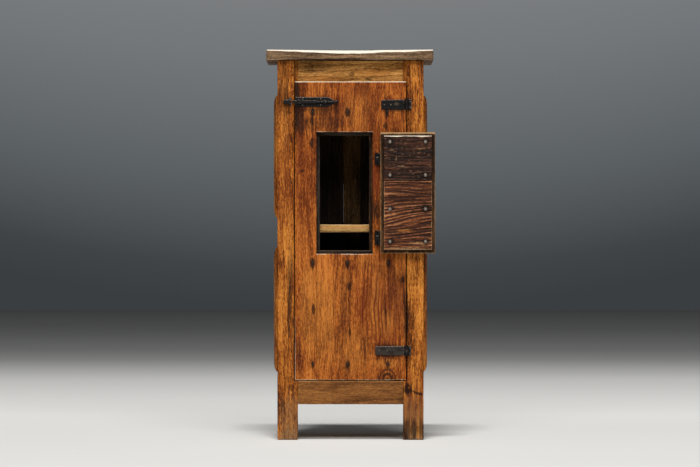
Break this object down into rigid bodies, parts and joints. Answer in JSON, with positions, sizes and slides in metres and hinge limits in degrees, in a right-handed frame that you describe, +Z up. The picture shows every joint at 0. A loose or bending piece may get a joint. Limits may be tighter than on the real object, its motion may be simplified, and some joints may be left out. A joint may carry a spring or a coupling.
{
  "type": "bonnetiere cabinet",
  "caption": "Small rustic pine cupboard: a tall plank door on forged strap hinges, a slide bolt, a folding hatch in the door, raised side panels and a shelf inside.",
  "frame": {"origin": "on the floor, under the centre of the box round the whole cupboard with the hatch folded back", "axes": "+Z up, -Y out of the front, +X to the right as seen from the front"},
  "size_m": [0.5747, 0.3868, 1.3285],
  "materials": {
    "post_pine": "waxed, worn",
    "rail_pine": "waxed, worn",
    "door_pine": "waxed, worn",
    "worn_top_pine": "bare, weathered",
    "bare_pine": "bare",
    "dark_pine": "bare, smoke-darkened",
    "forged_iron": "forged, blackened"
  },
  "bodies": {
    "carcase": {"front_left_post": "post_pine", "front_right_post": "post_pine", "back_left_post": "post_pine", "back_right_post": "post_pine", "front_top_rail": "rail_pine", "front_bottom_rail": "rail_pine", "back_top_rail": "rail_pine", "back_bottom_rail": "rail_pine", "left_top_rail": "post_pine", "left_middle_rail": "post_pine", "left_bottom_rail": "post_pine", "right_top_rail": "post_pine", "right_middle_rail": "post_pine", "right_bottom_rail": "post_pine", "left_upper_panel": "post_pine", "left_lower_panel": "post_pine", "right_upper_panel": "post_pine", "right_lower_panel": "post_pine", "joint_pegs": "post_pine", "back_board_1": "bare_pine", "back_board_2": "bare_pine", "back_board_3": "bare_pine", "back_board_4": "bare_pine", "back_board_5": "bare_pine", "top_front_board": "worn_top_pine", "top_back_board": "worn_top_pine", "floor_board": "bare_pine", "shelf": "bare_pine", "floor_cleats": "bare_pine", "shelf_cleats": "bare_pine", "carcase_nails": "forged_iron", "upper_post_leaf": "forged_iron", "lower_post_leaf": "forged_iron", "door_hinge_pins": "forged_iron", "bolt_keeper": "forged_iron", "post_iron_nails": "forged_iron"},
    "door": {"door_left_plank": "door_pine", "door_middle_plank": "door_pine", "door_right_plank": "door_pine", "door_upper_ledge": "bare_pine", "door_middle_ledge": "bare_pine", "door_lower_ledge": "bare_pine", "hatch_top_stop": "dark_pine", "hatch_left_stop": "dark_pine", "hatch_right_stop": "dark_pine", "door_nails": "forged_iron", "upper_strap": "forged_iron", "lower_strap": "forged_iron", "bolt_plate": "forged_iron", "bolt_guides": "forged_iron", "door_iron_nails": "forged_iron", "hatch_door_leaves": "forged_iron", "hatch_hinge_pins": "forged_iron"},
    "hatch": {"hatch_outer_board": "door_pine", "hatch_upper_inner_board": "dark_pine", "hatch_lower_inner_board": "dark_pine", "hatch_nails": "forged_iron", "hatch_leaves": "forged_iron", "hatch_knob": "dark_pine"},
    "bolt": {"bolt_bar": "forged_iron"}
  },
  "joints": [
    {"name": "door_swing", "type": "hinge", "parent": "carcase", "child": "door", "pos_m": [0.1905, -0.15015, 0.7], "axis": [0, 0, 1], "range_deg": [0, 100]},
    {"name": "hatch_swing", "type": "hinge", "parent": "door", "child": "hatch", "pos_m": [0.08733, -0.14765, 0.84], "axis": [0, 0, 1], "range_deg": [-180, 0]},
    {"name": "bolt_slide", "type": "slide", "parent": "door", "child": "bolt", "axis": [-1, 0, 0], "range_m": [-0.016, 0.024]}
  ],
  "couplings": [
    {"joint": "hatch_swing", "follows": "door_swing", "ratio": -1.8}
  ]
}
